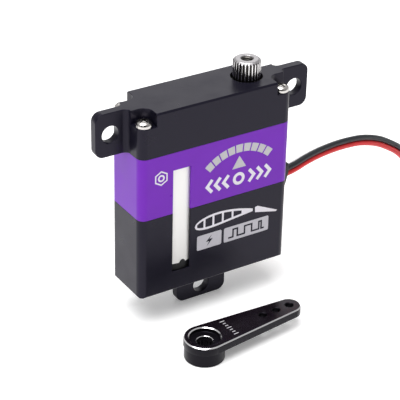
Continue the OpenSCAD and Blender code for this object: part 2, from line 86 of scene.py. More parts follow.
def surface(
    name,
    colour,
    rough,
    metal=0.0,
    ior=1.45,
    vary=0.08,
    rough_vary=0.05,
    patch=260.0,
    grain=9000.0,
    bump=0.15,
    depth=0.01,
    turned=None,
    coat=0.0,
    gloss=(1.0, 1.0, 1.0),
):
    """A procedural finish. Its colour and roughness drift over patches, and a fine grain or turned rings
    raise its surface by about depth millimetres. turned is (axis point, axis letter, rings a metre)."""
    mat = bpy.data.materials.new(name)
    mat.use_nodes = True
    tree = mat.node_tree
    shader = tree.nodes["Principled BSDF"]
    shader.inputs["Metallic"].default_value = metal
    shader.inputs["IOR"].default_value = ior
    shader.inputs["Specular Tint"].default_value = (*gloss, 1)
    shader.inputs["Coat Weight"].default_value = coat
    shader.inputs["Coat Roughness"].default_value = 0.12

    def node(kind, **settings):
        made = tree.nodes.new(kind)
        for key, value in settings.items():
            setattr(made, key, value)
        return made

    coords = node("ShaderNodeTexCoord")
    patches = node("ShaderNodeTexNoise")
    patches.inputs["Scale"].default_value = patch
    patches.inputs["Detail"].default_value = 3.0
    tree.links.new(coords.outputs["Object"], patches.inputs["Vector"])

    tint = node("ShaderNodeMix", data_type="RGBA")
    tint.inputs["A"].default_value = (*(c * (1 - vary) for c in colour), 1)
    tint.inputs["B"].default_value = (*(min(1.0, c * (1 + vary)) for c in colour), 1)
    tree.links.new(patches.outputs["Fac"], tint.inputs["Factor"])
    tree.links.new(tint.outputs["Result"], shader.inputs["Base Color"])

    fine = node("ShaderNodeTexNoise")
    fine.inputs["Scale"].default_value = grain
    fine.inputs["Detail"].default_value = 2.0
    tree.links.new(coords.outputs["Object"], fine.inputs["Vector"])

    spread = node("ShaderNodeMapRange")
    spread.inputs["From Min"].default_value = 0.3
    spread.inputs["From Max"].default_value = 0.7
    spread.inputs["To Min"].default_value = max(0.02, rough - rough_vary)
    spread.inputs["To Max"].default_value = min(1.0, rough + rough_vary)
    tree.links.new(patches.outputs["Fac"], spread.inputs["Value"])
    tree.links.new(spread.outputs["Result"], shader.inputs["Roughness"])

    height = fine.outputs["Fac"]
    if turned is not None:
        centre, axis, rings = turned
        shift = node("ShaderNodeMapping")
        shift.inputs["Location"].default_value = [-c for c in centre]
        wave = node("ShaderNodeTexWave", wave_type="RINGS", rings_direction=axis)
        wave.inputs["Scale"].default_value = rings
        wave.inputs["Distortion"].default_value = 0.6
        tree.links.new(coords.outputs["Object"], shift.inputs["Vector"])
        tree.links.new(shift.outputs["Vector"], wave.inputs["Vector"])
        height = wave.outputs["Fac"]
    relief = node("ShaderNodeBump")
    relief.inputs["Strength"].default_value = bump
    relief.inputs["Distance"].default_value = depth * MM
    tree.links.new(height, relief.inputs["Height"])
    tree.links.new(relief.outputs["Normal"], shader.inputs["Normal"])
    return mat


VIOLET = (0.86, 0.80, 1.0)
black_anodised = surface(
    "black_anodised", (0.0055, 0.005, 0.011), 0.32, ior=1.31, bump=0.25, gloss=VIOLET
)
purple_anodised = surface(
    "purple_anodised", (0.158, 0.0135, 0.44), 0.32, ior=1.33, bump=0.25, gloss=(1.0, 0.83, 0.88)
)
horn_satin = surface("horn_satin", (0.004, 0.0035, 0.005), 0.32, ior=1.23, bump=0.2, gloss=VIOLET)
horn_polished = surface(
    "horn_polished", (0.004, 0.002, 0.004), 0.22, ior=1.34, bump=0.03, patch=400, gloss=VIOLET
)
cut_edge = surface(
    "cut_edge", (0.91, 0.90, 0.92), 0.22, metal=1.0, vary=0.04, grain=16000, bump=0.1, depth=0.004
)
nickel = surface("nickel", (0.60, 0.575, 0.555), 0.22, metal=1.0, vary=0.08, bump=0.08, depth=0.005)
motor_plate = surface(
    "motor_plate", (0.83, 0.82, 0.80), 0.5, metal=0.5, vary=0.02, grain=7000, bump=0.12
)
# Dark metal as painted shade: in the screws' crosses, and on the top bearing and its balls seen round the
# output shaft
painted_shade_metal = surface("painted_shade_metal", (0.05, 0.048, 0.045), 0.4, metal=1.0, vary=0.2)
OUTPUT_AXIS = Vector((OUTPUT_X * MM, 0, 0))
spline_steel = surface(
    "spline_steel", (0.78, 0.76, 0.76), 0.20, metal=1.0, vary=0.05, bump=0.10, depth=0.006
)
# Dark steel as painted shade, between the spline's teeth and down its threaded hole
spline_painted_shade = surface(
    "spline_painted_shade", (0.085, 0.08, 0.075), 0.35, metal=1.0, vary=0.2, bump=0.10, depth=0.006
)
turned_steel = surface(
    "turned_steel", (0.46, 0.445, 0.455), 0.38, metal=1.0, vary=0.04, bump=0.2, depth=0.004,
    turned=(OUTPUT_AXIS, "Z", 9000.0),
)
gear_steel = surface("gear_steel", (0.60, 0.60, 0.62), 0.28, metal=1.0, vary=0.08, grain=8000)
gear_brass = surface("gear_brass", (0.80, 0.60, 0.25), 0.30, metal=1.0, vary=0.08, grain=8000)
bearing_steel = surface("bearing_steel", (0.78, 0.78, 0.80), 0.12, metal=1.0, vary=0.04, bump=0.05)
ferrite = surface("ferrite", (0.045, 0.045, 0.05), 0.55, vary=0.2, grain=5000, bump=0.4)
moulded_black = surface("moulded_black", (0.009, 0.009, 0.010), 0.45, ior=1.35, grain=5000, bump=0.3)
board_green = surface("board_green", (0.012, 0.085, 0.035), 0.30, vary=0.15, patch=900, coat=0.4)
chip_epoxy = surface("chip_epoxy", (0.02, 0.02, 0.021), 0.5, vary=0.15, grain=6000, bump=0.35)
ceramic_tan = surface("ceramic_tan", (0.42, 0.27, 0.14), 0.4, vary=0.12, grain=5000)
contact_brass = surface("contact_brass", (0.85, 0.65, 0.30), 0.25, metal=1.0, vary=0.08)
rubber = surface(
    "rubber", (0.016, 0.016, 0.017), 0.6, ior=1.5, vary=0.15, grain=3500, bump=0.3, depth=0.02
)
black_pvc = surface("black_pvc", (0.012, 0.014, 0.018), 0.42, vary=0.12, grain=2500, bump=0.1, depth=0.02)
red_pvc = surface("red_pvc", (0.62, 0.018, 0.022), 0.40, vary=0.10, grain=2500, bump=0.1, depth=0.02)
white_pvc = surface("white_pvc", (0.80, 0.79, 0.77), 0.42, vary=0.05, grain=2500, bump=0.1, depth=0.02)
silver_ink = surface("silver_ink", (0.50, 0.49, 0.51), 0.55, vary=0.10, patch=3500, grain=12000, bump=0.2)
white_ink = surface("white_ink", (0.74, 0.71, 0.77), 0.6, vary=0.05, patch=2500, grain=12000, bump=0.2)
grey_ink = surface("grey_ink", (0.50, 0.485, 0.53), 0.6, vary=0.06, patch=2500, grain=12000, bump=0.2)


# ---------- Cords ----------


def smooth_path(points, steps):
    """Points along a Catmull-Rom curve through the given ones."""
    ends = [2 * points[0] - points[1], *points, 2 * points[-1] - points[-2]]
    path = []
    for a, b, c, d in zip(ends, ends[1:], ends[2:], ends[3:]):
        for k in range(steps):
            t = k / steps
            path.append(
                0.5
                * (
                    2 * b
                    + (c - a) * t
                    + (2 * a - 5 * b + 4 * c - d) * t * t
                    + (3 * b - a - 3 * c + d) * t * t * t
                )
            )
    return [*path, points[-1]]


def bundle_path():
    """The bundle's middle as (place, roll, spread): the free stretch, one and a bit turns of coil, and the
    tail to the plug. roll turns the wires about the bundle, and spread parts them for the plug."""
    free = [
        (17.5, 0.3, 20.1, 0), (20.0, 0.5, 20.4, 0), (22.6, 1.1, 20.7, 0), (25.4, 1.9, 20.7, 0),
        (28.3, 2.6, 20.6, 0), (31.3, 3.2, 20.4, 0), (34.3, 3.8, 20.0, 0), (37.3, 4.4, 19.4, 0),
        (40.3, 5.0, 18.4, 0), (43.2, 5.6, 17.1, 0), (46.0, 6.1, 15.4, 0), (48.7, 6.6, 13.5, 0),
        (51.2, 7.0, 11.2, 10), (53.5, 7.4, 8.8, 25), (55.7, 7.7, 6.4, 40), (58.0, 7.9, 4.1, 60),
        (60.6, 8.0, 2.3, 75), (63.3, 8.0, 1.2, 85), (66.0, 8.0, 0.9, 90),
    ]
    tail = [
        (78.9, -5.6, 0.9, 90, 0), (78.6, -7.6, 1.05, 70, 0), (77.2, -9.4, 1.2, 45, 0.1),
        (74.9, -10.0, 1.25, 30, 0.5), (72.6, -10.0, 1.3, 30, 1), (70.6, -10.0, 1.3, 30, 1),
    ]
    path = [(Vector(p[:3]), p[3], 0.0) for p in free]
    sweep, steps = 439.5, 60
    for k in range(1, steps):
        share = k / steps
        angle = math.radians(90 - sweep * share)
        radius = 16.0 - 2.88 * share
        x, y = COIL_X + radius * math.cos(angle), COIL_Y + radius * math.sin(angle)
        place = Vector((x, y, 0.9))
        path.append((place, 90, 0.0))
    return path + [(Vector(p[:3]), p[3], p[4]) for p in tail]


def wire_path(across, normal, across_in_plug):
    """One wire's own line, beside the bundle's middle by its place across the bundle and out of it."""
    path = bundle_path()
    line = []
    for i, (place, roll, spread) in enumerate(path):
        before, after = path[max(0, i - 1)][0], path[min(len(path) - 1, i + 1)][0]
        along = (after - before).normalized()
        level = Vector((0, 0, 1)).cross(along).normalized()
        high = along.cross(level)
        turn = math.radians(roll)
        side = high * math.cos(turn) - level * math.sin(turn)
        out = level * math.cos(turn) + high * math.sin(turn)
        bundled = side * across + out * normal
        line.append(place + bundled * (1 - spread) - level * across_in_plug * spread)
    return [p * MM for p in smooth_path(line, 3)]


def wire(name, node, material, places):
    line = wire_path(*places)
    curve = bpy.data.curves.new(name, "CURVE")
    curve.dimensions = "3D"
    curve.bevel_depth = WIRE_R * MM
    curve.bevel_resolution = 5
    curve.use_fill_caps = True
    spline = curve.splines.new("POLY")
    spline.points.add(len(line) - 1)
    for point, place in zip(spline.points, line):
        point.co = (*place, 1)
    spline.use_smooth = True
    curve.materials.append(material)
    obj = bpy.data.objects.new(name, curve)
    scene.collection.objects.link(obj)
    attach(obj, "case")
    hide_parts(node)
    return obj, line


# ---------- Mesh helpers ----------


def from_bmesh(name, bm, materials, body):
    """An object from bm. A stage object or a cutting tool has no body."""
    mesh = bpy.data.meshes.new(name)
    bm.to_mesh(mesh)
    bm.free()
    obj = bpy.data.objects.new(name, mesh)
    for material in materials:
        mesh.materials.append(material)
    scene.collection.objects.link(obj)
    if body is not None:
        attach(obj, body)
    return obj


def tool(bm, materials=()):
    """A body that only cuts or joins, and is gone afterwards."""
    return from_bmesh("tool", bm, materials, None)


def freeze(obj):
    """Applies the object's modifiers to its mesh."""
    bpy.context.view_layer.update()
    solved = obj.evaluated_get(bpy.context.evaluated_depsgraph_get())
    mesh = bpy.data.meshes.new_from_object(solved)
    obj.modifiers.clear()
    obj.data = mesh
    mesh.name = obj.name


def weld(obj):
    """Joins the vertices a bevel leaves in one place, so that no face without width is left."""
    bm = bmesh.new()
    bm.from_mesh(obj.data)
    bmesh.ops.remove_doubles(bm, verts=bm.verts, dist=1e-7)
    bm.to_mesh(obj.data)
    bm.free()


def boolean(obj, other, operation="DIFFERENCE"):
    cut = obj.modifiers.new("cut", "BOOLEAN")
    cut.operation = operation
    cut.solver = "EXACT"
    cut.object = other
    freeze(obj)
    bpy.data.objects.remove(other)


def shade(obj, angle=30):
    """Smooth across shallow edges, with the big flats kept flat."""
    for face in obj.data.polygons:
        face.use_smooth = True
    bm = bmesh.new()
    bm.from_mesh(obj.data)
    for edge in bm.edges:
        edge.smooth = edge.is_manifold and edge.calc_face_angle(0) < math.radians(angle)
    bm.to_mesh(obj.data)
    bm.free()
    weighted = obj.modifiers.new("normals", "WEIGHTED_NORMAL")
    weighted.keep_sharp = True
    weighted.weight = 80


def bevelled(bm, name, width, weigh, materials, body, segments=2):
    """A piece from bm whose sharp edges are rounded. weigh(middle) gives the share of width for an edge
    whose middle is there, in millimetres."""
    layer = bm.edges.layers.float.new("bevel_weight_edge")
    for edge in bm.edges:
        if edge.is_manifold and edge.calc_face_angle(0) > math.radians(24):
            middle = (edge.verts[0].co + edge.verts[1].co) / 2 / MM
            edge[layer] = weigh(middle)
    obj = from_bmesh(name, bm, materials, body)
    bevel = obj.modifiers.new("bevel", "BEVEL")
    bevel.limit_method = "WEIGHT"
    bevel.width = width * MM
    bevel.segments = segments
    bevel.use_clamp_overlap = False
    freeze(obj)
    weld(obj)
    shade(obj, 35)
    return obj


def node_bmesh(node):
    """A CAD node's mesh with one vertex at each corner and one face for each flat."""
    bm = bmesh.new()
    bm.from_mesh(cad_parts[node].data)
    bmesh.ops.remove_doubles(bm, verts=bm.verts, dist=1e-7)
    bmesh.ops.dissolve_limit(bm, angle_limit=math.radians(0.5), verts=bm.verts, edges=bm.edges)
    for face in bm.faces:
        face.material_index = 0
    return bm


def rings_bmesh(rings, shades=None):
    """A closed body from rings of equal count, each joined to the next, with its two ends filled. shades
    holds a material number for each band between two rings."""
    bm = bmesh.new()
    made = [[bm.verts.new(Vector(p) * MM) for p in ring] for ring in rings]
    count = len(rings[0])
    for i, (low, high) in enumerate(zip(made, made[1:])):
        for k in range(count):
            face = bm.faces.new((low[k], low[(k + 1) % count], high[(k + 1) % count], high[k]))
            face.material_index = shades[i] if shades else 0
    for ring, order in ((made[0], -1), (made[-1], 1)):
        face = bm.faces.new(ring[::order])
        if shades:
            face.material_index = shades[0 if order < 0 else -1]
    bmesh.ops.recalc_face_normals(bm, faces=bm.faces)
    return bm


def circle(radius, z, count, centre):
    return [
        (
            centre[0] + radius * math.cos(2 * math.pi * k / count),
            centre[1] + radius * math.sin(2 * math.pi * k / count),
            z,
        )
        for k in range(count)
    ]


def lathe(profile, centre, count):
    """A turned body from (radius, height) pairs, first to last."""
    return rings_bmesh([circle(r, z, count, centre) for r, z in profile])


# ---------- Case ----------


def top_weight(p):
    """The top shell's bevels: widest on the ears, fine at the joint and the shaft's hole, none inside."""
    reach = abs(p.x)
    beside_notch = 14.7 < reach < 15.02 and 1.7 < abs(p.y) < 1.9
    on_ear = reach > 15.02
    at_shaft = math.hypot(p.x - OUTPUT_X, p.y) < 3
    inside = reach < 14.5 and abs(p.y) < 4.5 and p.z < 40.6
    at_joint = p.z < 33.3
    # at the ear's root the bevels would overlap that of the screw's notch
    if beside_notch:
        return 0.0
    if on_ear:
        return 0.9
    if at_shaft:
        return 0.2
    if inside:
        return 0.0
    return 0.35 if at_joint else 0.6


def shell_weight(p):
    """The middle and lower shells' bevels: widest on the tab, fine on the outside, none inside."""
    on_tab = p.z < 6.1
    outside = abs(p.x) > 14.95 or abs(p.y) > 4.95
    if on_tab:
        return 0.9
    return 0.35 if outside else 0.0


top_case = bevelled(
    node_bmesh("top_case"), "top_shell", 0.15, top_weight, [black_anodised], "case", 3
)
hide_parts("top_case")
middle_case = bevelled(
    node_bmesh("middle_case"), "middle_shell", 0.15, shell_weight, [purple_anodised], "case",
)
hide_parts("middle_case")
bottom_case = bevelled(
    node_bmesh("bottom_case"), "bottom_shell", 0.15, shell_weight, [black_anodised], "case",
    3,
)
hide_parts("bottom_case")


# ---------- Case screws ----------


def cross_tool(x, y, turn):
    """The tapered cross that a driver fits, standing at a screw's head."""
    rings = []
    for z, arm, half in ((39.1, 0.4, 0.10), (39.45, 0.7, 0.12), (40.2, 1.2, 0.19)):
        outline = []
        for k in range(4):
            for u, v in ((arm, -half), (arm, half), (half, half)):
                a = math.radians(turn + 90 * k)
                outline.append(
                    (x + u * math.cos(a) - v * math.sin(a), y + u * math.sin(a) + v * math.cos(a), z)
                )
        rings.append(outline)
    # The cross's faces carry the painted shade into the screw's recess
    return tool(rings_bmesh(rings, [1, 1]), [nickel, painted_shade_metal])


def screws():
    """Four long case screws: a pointed tip, a thread, a shank and a domed head with a cross."""
    profile = [(0.35, 13.6), (0.6, 13.9)]
    thread_start, thread_end, pitch = 14.0, 20.5, 0.35
    z = thread_start
    while z < thread_end:
        profile += [(0.7, z), (0.58, z + 0.17)]
        z += pitch
    profile += [(0.7, 20.8), (0.7, 38.8), (1.34, 38.8), (1.4, 38.86), (1.4, 39.18), (1.37, 39.33)]
    profile += [(1.28, 39.5), (1.12, 39.66), (0.88, 39.79), (0.58, 39.87), (0.25, 39.9)]
    corners = ((-1, -1, 16), (1, -1, 8), (-1, 1, 40), (1, 1, 72))
    for number, (sx, sy, turn) in enumerate(corners, 1):
        x, y = SCREW_X * sx, SCREW_Y * sy
        bm = lathe(profile, (x, y), 48)
        # The second material is painted shade, for the cross's recess
        screw = from_bmesh(f"case_screw_{number}", bm, [nickel, painted_shade_metal], "case")
        boolean(screw, cross_tool(x, y, turn))
        shade(screw, 32)
    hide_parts("case_screws")


screws()


# ---------- Output shaft ----------


SPLINE_TEETH = 25
UNLIMITED = 9


def toothed(z, limit=UNLIMITED, centre=(OUTPUT_X, 0), scale=1.0):
    """One ring round the toothed shaft end, cut back to the limit radius."""
    tip, root = 2.45, 2.12
    tooth = [
        (-0.50, root), (-0.41, root), (-0.36, root + 0.03), (-0.32, root + 0.08), (-0.20, tip - 0.07),
        (-0.16, tip - 0.02), (-0.10, tip), (0.0, tip), (0.10, tip), (0.16, tip - 0.02),
        (0.20, tip - 0.07), (0.32, root + 0.08), (0.36, root + 0.03), (0.41, root),
    ]
    ring = []
    for i in range(SPLINE_TEETH):
        for share, radius in tooth:
            a = 2 * math.pi * (i + share) / SPLINE_TEETH
            r = min(radius, limit) * scale
            ring.append((centre[0] + r * math.cos(a), centre[1] + r * math.sin(a), z))
    return ring


def output_shaft():
    """The turned shaft, its toothed end with a lead-in cone, and the threaded hole down its middle."""
    # Material numbers: steel, turned steel, and painted shade
    steel, turned, painted_dark = 0, 1, 2

    def plain(r, z):
        # the same angles as the toothed rings, so that no face twists
        ring = []
        for x, y, _ in toothed(z):
            a = math.atan2(y, x - OUTPUT_X)
            ring.append((OUTPUT_X + r * math.cos(a), r * math.sin(a), z))
        return ring

    rings = [plain(1.0, 25.2), plain(1.2, 25.4), plain(1.2, 31.2), plain(1.5, 31.2), plain(1.5, 37.1)]
    rings += [plain(2.0, 37.1), plain(2.0, 40.62), plain(2.05, 40.7)]
    rings += [toothed(40.7, 2.3), toothed(40.85), toothed(42.4), toothed(44.10)]
    cone = [(44.16, 2.40), (44.24, 2.30), (44.31, 2.20), (44.37, 2.11), (44.45, 2.00), (44.48, 1.93)]
    rings += [toothed(z, limit) for z, limit in cone]
    bands_below_cone = len(rings) - len(cone) - 1
    crown = [(1.84, 44.5), (1.5, 44.5), (1.18, 44.5), (1.10, 44.42), (1.05, 44.3)]
    rings += [plain(r, z) for r, z in crown]
    z, thread_end, pitch = 44.25, 39.2, 0.4
    while z > thread_end:
        rings += [plain(1.05, z), plain(0.86, z - 0.14), plain(0.86, z - 0.2), plain(1.05, z - 0.34)]
        z -= pitch
    rings += [plain(0.86, 38.9), plain(0.3, 38.5)]
    shades = [steel] * bands_below_cone + [turned] * (len(cone) + len(crown))
    # Down the threaded hole one band of each turn keeps the bright steel and three get painted shade
    while len(shades) < len(rings) - 1:
        shades += [steel, painted_dark, painted_dark, painted_dark]
    bm = rings_bmesh(rings, shades[: len(rings) - 1])
    # Painted shade on the faces between the teeth
    for face in bm.faces:
        middle = face.calc_center_median() / MM
        between_teeth = 1.5 < math.hypot(middle.x - OUTPUT_X, middle.y) < 2.37
        if between_teeth and 40.8 < middle.z < 44.12:
            face.material_index = painted_dark
    shaft = from_bmesh(
        "output_spline", bm, [spline_steel, turned_steel, spline_painted_shade], "output"
    )
    shade(shaft, 28)
    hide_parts("output_shaft")


output_shaft()


# ---------- Horn ----------

HUB = Vector((-9.4, -17.1))
HORN_TURN = math.radians(2.6)
HORN_REACH = 17.8
ARM_R, TIP_R = 3.65, 2.05


def on_horn(x, y, z):
    """A point of the horn, whose arm runs along its own X."""
    c, s = math.cos(HORN_TURN), math.sin(HORN_TURN)
    return (HUB.x + x * c - y * s, HUB.y + x * s + y * c, z)


def arm_ring(inset, z):
    """The arm's outline at one height: an arc round the hub, an arc round the tip, and two straight sides."""
    r1, r2, length = ARM_R - inset, TIP_R - inset, HORN_REACH
    lean = math.asin((ARM_R - TIP_R) / length)
    ring = []
    for k in range(73):
        a = math.pi / 2 - lean + (math.pi + 2 * lean) * k / 72
        ring.append(on_horn(r1 * math.cos(a), r1 * math.sin(a), z))
    for k in range(57):
        a = lean - math.pi / 2 + (math.pi - 2 * lean) * k / 56
        ring.append(on_horn(length + r2 * math.cos(a), r2 * math.sin(a), z))
    return ring


def horn_circle(radius, x, z, count=72):
    ring = []
    for k in range(count):
        a = 2 * math.pi * k / count
        ring.append(on_horn(x + radius * math.cos(a), radius * math.sin(a), z))
    return ring


def servo_horn():
    """The arm and its hub, with the sunk and bored hub, three link holes and the toothed socket."""
    satin, polished, bright = 0, 1, 2
    arm = rings_bmesh(
        [
            arm_ring(0.12, 2.40), arm_ring(0.03, 2.44), arm_ring(0.0, 2.52), arm_ring(0.0, 3.80),
            arm_ring(0.17, 3.985), arm_ring(0.20, 4.0),
        ],
        [satin, satin, satin, bright, polished],
    )
    materials = [horn_satin, horn_polished, cut_edge]
    horn = from_bmesh("servo_arm", arm, materials, "horn")
    hub_rings = [(3.34, 0.0), (3.45, 0.05), (3.5, 0.16), (3.5, 2.6)]
    hub = rings_bmesh([horn_circle(r, 0, z, 96) for r, z in hub_rings])
    boolean(horn, tool(hub, materials), "UNION")
    sink = rings_bmesh(
        [horn_circle(r, 0, z, 96) for r, z in ((2.6, 3.1), (2.7, 3.2), (2.7, 3.84), (2.98, 4.12))],
        [satin, satin, bright],
    )
    boolean(horn, tool(sink, materials))
    through = rings_bmesh(
        [horn_circle(r, 0, z) for r, z in ((1.45, 1.0), (1.45, 3.03), (1.55, 3.13), (1.55, 5))],
        [satin, bright, bright],
    )
    boolean(horn, tool(through, materials))
    for x in (HORN_REACH, 14.95, 12.1):
        rings = ((0.70, 1.0), (0.70, 3.88), (0.95, 4.13))
        hole = rings_bmesh([horn_circle(r, x, z, 40) for r, z in rings])
        boolean(horn, tool(hole, materials))
    socket = rings_bmesh([toothed(z, UNLIMITED, (HUB.x, HUB.y), 1.012) for z in (-1, 2.2)])
    boolean(horn, tool(socket, materials))
    shade(horn, 25)
    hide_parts("servo_horn")


servo_horn()


# ---------- Printing on the front ----------

PRINT_THICKNESS = 0.016
# The middle of the print's thickness: it is sunk 0.004 and stands 0.012 proud of its face
FRONT_PRINT_Y, HORN_PRINT_Z = -5.004, 4.004
# The dial's centre, and the middle of the marks under it
DIAL_X, DIAL_Z, MARKS_Z = 4.5, 21.4, 24.8


def flat_shapes(name, outlines, material, body, place):
    """A thin print from closed outlines, where one inside another is a hole. place(u, v, w) maps a point of
    the outlines' plane, and its height w over it, to the frame."""
    curve = bpy.data.curves.new(name, "CURVE")
    curve.dimensions = "2D"
    curve.fill_mode = "BOTH"
    curve.extrude = PRINT_THICKNESS / 2
    for outline in outlines:
        spline = curve.splines.new("POLY")
        spline.points.add(len(outline) - 1)
        for point, (u, v) in zip(spline.points, outline):
            point.co = (u, v, 0, 1)
        spline.use_cyclic_u = True
    temporary = bpy.data.objects.new(name, curve)
    scene.collection.objects.link(temporary)
    bpy.context.view_layer.update()
    solved = temporary.evaluated_get(bpy.context.evaluated_depsgraph_get())
    mesh = bpy.data.meshes.new_from_object(solved)
    bpy.data.objects.remove(temporary)
    bm = bmesh.new()
    bm.from_mesh(mesh)
    bmesh.ops.remove_doubles(bm, verts=bm.verts, dist=1e-5)
    for vert in bm.verts:
        vert.co = Vector(place(vert.co.x, vert.co.y, vert.co.z)) * MM
    bmesh.ops.recalc_face_normals(bm, faces=bm.faces)
    return from_bmesh(name, bm, [material], body)


def on_front(u, v, w):
    return (u, FRONT_PRINT_Y - w, v)


def stroke(points, width):
    """The outline of a line of that width through the points, with square ends."""
    left, right = [], []
    for i, p in enumerate(points):
        before = points[i - 1] if i else None
        after = points[i + 1] if i + 1 < len(points) else None
        normals = []
        for a, b in ((before, p), (p, after)):
            if a is not None and b is not None:
                dx, dy = b[0] - a[0], b[1] - a[1]
                long = math.hypot(dx, dy)
                normals.append((-dy / long, dx / long))
        nx, ny = (sum(n[0] for n in normals), sum(n[1] for n in normals))
        long = math.hypot(nx, ny)
        nx, ny = nx / long, ny / long
        reach = width / 2 / (nx * normals[0][0] + ny * normals[0][1])
        left.append((p[0] + nx * reach, p[1] + ny * reach))
        right.append((p[0] - nx * reach, p[1] - ny * reach))
    return left + right[::-1]


def arc_points(cx, cy, radius, start, end, count):
    """count + 1 points from start to end, in degrees."""
    return [
        (
            cx + radius * math.cos(math.radians(start + (end - start) * k / count)),
            cy + radius * math.sin(math.radians(start + (end - start) * k / count)),
        )
        for k in range(count + 1)
    ]


def round_box(x0, y0, x1, y1, r):
    corners = ((x1 - r, y1 - r, 0), (x0 + r, y1 - r, 90), (x0 + r, y0 + r, 180), (x1 - r, y0 + r, 270))
    return [p for cx, cy, a in corners for p in arc_points(cx, cy, r, a, a + 90, 6)]


def travel_dial():
    """A dial of blocks over a pointer: how far the shaft turns to each side."""
    shapes = []
    for k in range(9):
        start = 90 + 43.6 - k * 9.8
        outer = arc_points(DIAL_X, DIAL_Z, 10.0, start, start - 8.2, 6)
        inner = arc_points(DIAL_X, DIAL_Z, 8.5, start - 8.2, start, 6)
        shapes.append(outer + inner)
    shapes.append([(DIAL_X, 29.2), (3.1, 26.9), (5.9, 26.9)])
    return shapes


def direction_marks():
    """Three chevrons to each side of a ring."""
    shapes = []
    for side in (-1, 1):
        for k in range(3):
            x = DIAL_X + side * (2.1 + k * 1.65)
            shapes.append(stroke([(x, 26.0), (x + side * 1.0, MARKS_Z), (x, 23.6)], 0.62))
    shapes += [arc_points(DIAL_X, MARKS_Z, radius, 0, 350, 35) for radius in (1.2, 0.62)]
    return shapes


def half_thickness(share):
    """The half thickness of a four-digit wing section, up to its scale, at that share of its chord."""
    return 3.6 * (
        0.2969 * math.sqrt(share)
        - 0.126 * share
        - 0.3516 * share**2
        + 0.2843 * share**3
        - 0.1015 * share**4
    )


def wing_section():
    """A wing's section with its ribs' lightening holes, and a drooped flap behind it."""
    x0, chord, scale, middle = -4.2, 12.9, 3.7, 17.55

    def edge(share, side, inset=0.0):
        camber = 0.45 * math.sin(math.pi * share)
        half = max(0.0, scale * half_thickness(share) - inset)
        return (x0 + chord * share, middle + camber + side * half)

    stations = [0.0, 0.01, 0.03, 0.07, 0.12, 0.2, 0.3, 0.4, 0.5, 0.6, 0.7, 0.8, 0.87, 0.92]
    outline = [edge(s, 1) for s in stations] + [edge(s, -1) for s in stations[:0:-1]]
    shapes = [outline]
    for low, high in ((0.035, 0.135), (0.165, 0.275), (0.305, 0.425), (0.455, 0.58), (0.61, 0.74)):
        inner = [low + (high - low) * k / 5 for k in range(6)]
        shapes.append([edge(s, 1, 0.42) for s in inner] + [edge(s, -1, 0.42) for s in inner[::-1]])
    shapes.append([(8.15, 18.05), (8.7, 18.15), (12.9, 16.15), (12.6, 15.95), (8.2, 17.0)])
    return shapes


def signal_boxes():
    """Two plates: a power bolt, and the pulses that steer the servo."""
    bolt = [(-0.6, 15.25), (-1.9, 13.95), (-1.2, 13.95), (-1.75, 13.0), (-0.45, 14.4), (-1.15, 14.4)]
    low, high = 13.35, 14.85
    wave = [
        (2.7, low), (3.7, low), (3.7, high), (4.6, high), (4.6, low), (6.1, low), (6.1, high),
        (7.6, high), (7.6, low), (9.1, low), (9.1, high), (9.6, high), (9.6, low), (10.2, low),
    ]
    return [
        round_box(-3.7, 12.65, 1.3, 15.55, 0.3), bolt,
        round_box(1.8, 12.65, 11.1, 15.55, 0.3), stroke(wave, 0.34),
    ]


def badge():
    """A small hexagon nut, seen from its end."""
    x, y = -10.975, 29.05
    corners = [arc_points(x, y, radius, 30, 330, 5) for radius in (1.4, 1.12)]
    bore = [arc_points(x, y, radius, 0, 345, 23) for radius in (0.66, 0.36)]
    return corners + bore


def printing():
    """Everything printed on the case's front, and the ticks on the horn."""
    flat_shapes("travel_dial", travel_dial(), silver_ink, "case", on_front)
    flat_shapes("direction_marks", direction_marks(), white_ink, "case", on_front)
    flat_shapes("badge", badge(), white_ink, "case", on_front)
    flat_shapes("wing_section", wing_section(), white_ink, "case", on_front)
    flat_shapes("signal_boxes", signal_boxes(), grey_ink, "case", on_front)

    def on_arm(u, v, w):
        return on_horn(u, v, HORN_PRINT_Z + w)

    ticks = []
    for k in range(7):
        y = -2.1 + 0.7 * k
        reach = 0.95 if k % 3 == 0 else 0.6
        left, right = 5.0 - reach / 2, 5.0 + reach / 2
        low, high = y - 0.09, y + 0.09
        ticks.append([(left, low), (right, low), (right, high), (left, high)])
    flat_shapes("horn_ticks", ticks, silver_ink, "horn", on_arm)


printing()


# ---------- Motor, grommet, plug ----------


def crimp_tab():
    """The black cap's locating bump, which shows at the foot of the slot over the can's lower edge."""
    rings = []
    for reach, size in ((4.45, 1.0), (4.90, 1.0), (4.93, 0.9)):
        ring = []
        for k in range(25):
            a = math.pi * k / 24
            u, v = 0.62 * size * math.cos(a), 11.15 + 0.72 * size * math.sin(a)
            turn = u / 4.85 + 0.07
            ring.append((MOTOR_X + reach * math.sin(turn), -reach * math.cos(turn), v))
        rings.append(ring)
    tab = from_bmesh("cap_tab", rings_bmesh(rings), [moulded_black], "case")
    shade(tab, 30)


crimp_tab()

grommet = bevelled(
    node_bmesh("cable_grommet"), "grommet", 0.35, lambda p: 1.0 if p.x > 15.2 else 0.0, [rubber], "case",
    3,
)
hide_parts("cable_grommet")


def plug():
    """The three-way housing with a latch window over each contact."""
    housing = bevelled(
        node_bmesh("plug_housing"), "plug_shell", 0.18,
        lambda p: 1.0 if (p.z < 0.05 or p.z > 2.55 or abs(p.y - PLUG_Y) > 3.8) else 0.0,
        [moulded_black], "case", 3,
    )
    housing.modifiers.clear()
    for k in (-1, 0, 1):
        y = PLUG_Y + PLUG_PITCH * k
        window = [(60.2, y - 0.55), (62.6, y - 0.55), (62.6, y + 0.55), (60.2, y + 0.55)]
        rings = [[(u, v, z) for u, v in window] for z in (1.9, 3.0)]
        boolean(housing, tool(rings_bmesh(rings)))
    shade(housing, 30)
    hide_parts("plug_housing")
    return housing


plug_shell = plug()


